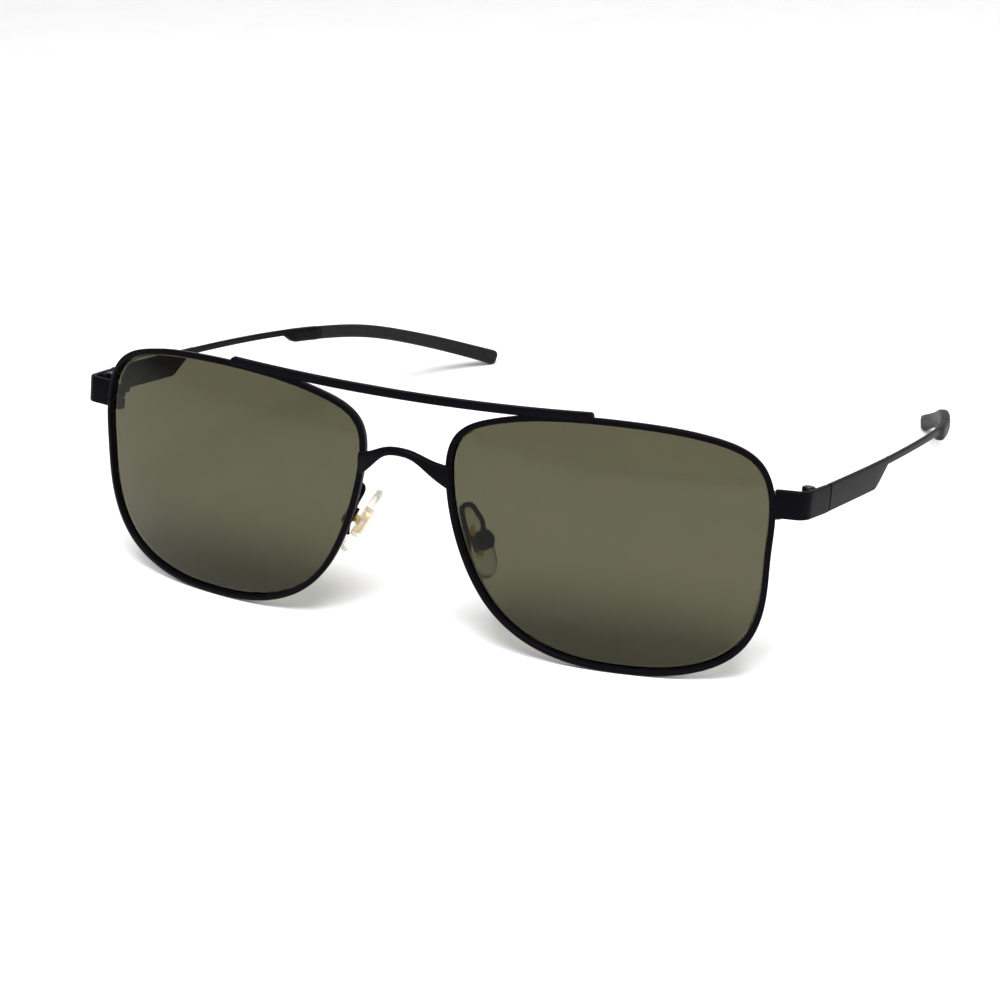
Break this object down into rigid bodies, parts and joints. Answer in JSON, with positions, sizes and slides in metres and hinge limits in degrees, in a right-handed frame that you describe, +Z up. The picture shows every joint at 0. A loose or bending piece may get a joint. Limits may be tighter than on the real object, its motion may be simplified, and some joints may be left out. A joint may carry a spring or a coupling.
{
  "type": "aviator sunglasses",
  "caption": "Metal aviator sunglasses with a double bridge, squared tinted lenses, adjustable nose pads, folding temples and rubber ear tips.",
  "frame": {"origin": "on the surface the glasses stand on, under the middle of their box, with the temples open", "axes": "+X towards the wearer's left, +Y from the lenses back along the temples, +Z up"},
  "size_m": [0.1466, 0.1482, 0.0468],
  "materials": {
    "frame": "satin black lacquer on metal wire and strip",
    "lens": "grey-green tint, polished",
    "pad": "clear soft plastic",
    "gold": "gold-coloured stamped insert",
    "steel": "dark small screws",
    "rubber": "matt black"
  },
  "bodies": {
    "front": {"brow_bar": "frame", "bridge": "frame", "rim_left": "frame", "lens_left": "lens", "rim_lock_upper_left": "frame", "rim_lock_lower_left": "frame", "rim_lock_screw_left": "steel", "end_piece_left": "frame", "front_hinge_left": "frame", "hinge_screw_left": "steel", "pad_arm_left": "frame", "pad_box_left": "frame", "pad_screw_left": "steel", "rim_right": "frame", "lens_right": "lens", "rim_lock_upper_right": "frame", "rim_lock_lower_right": "frame", "rim_lock_screw_right": "steel", "end_piece_right": "frame", "front_hinge_right": "frame", "hinge_screw_right": "steel", "pad_arm_right": "frame", "pad_box_right": "frame", "pad_screw_right": "steel"},
    "temple_left": {"temple_hinge_left": "frame", "temple_left": "frame", "temple_tip_left": "rubber"},
    "temple_right": {"temple_hinge_right": "frame", "temple_right": "frame", "temple_tip_right": "rubber"},
    "pad_left": {"nose_pad_left": "pad", "pad_insert_left": "gold"},
    "pad_right": {"nose_pad_right": "pad", "pad_insert_right": "gold"}
  },
  "joints": [
    {"name": "temple_left_fold", "type": "hinge", "parent": "front", "child": "temple_left", "pos_m": [0.0694, -0.0574, 0.0326], "axis": [0, 0.1668, 0.986], "range_deg": [0, 82]},
    {"name": "temple_right_fold", "type": "hinge", "parent": "front", "child": "temple_right", "pos_m": [-0.0694, -0.0574, 0.0326], "axis": [0, 0.1668, 0.986], "range_deg": [-78, 0]},
    {"name": "pad_left_rock", "type": "hinge", "parent": "front", "child": "pad_left", "pos_m": [0.01353, -0.06623, 0.01903], "axis": [0.2439, 0.9679, -0.0606], "range_deg": [-8, 8]},
    {"name": "pad_right_rock", "type": "hinge", "parent": "front", "child": "pad_right", "pos_m": [-0.01353, -0.06623, 0.01903], "axis": [-0.2439, 0.9679, -0.0606], "range_deg": [-8, 8]}
  ]
}
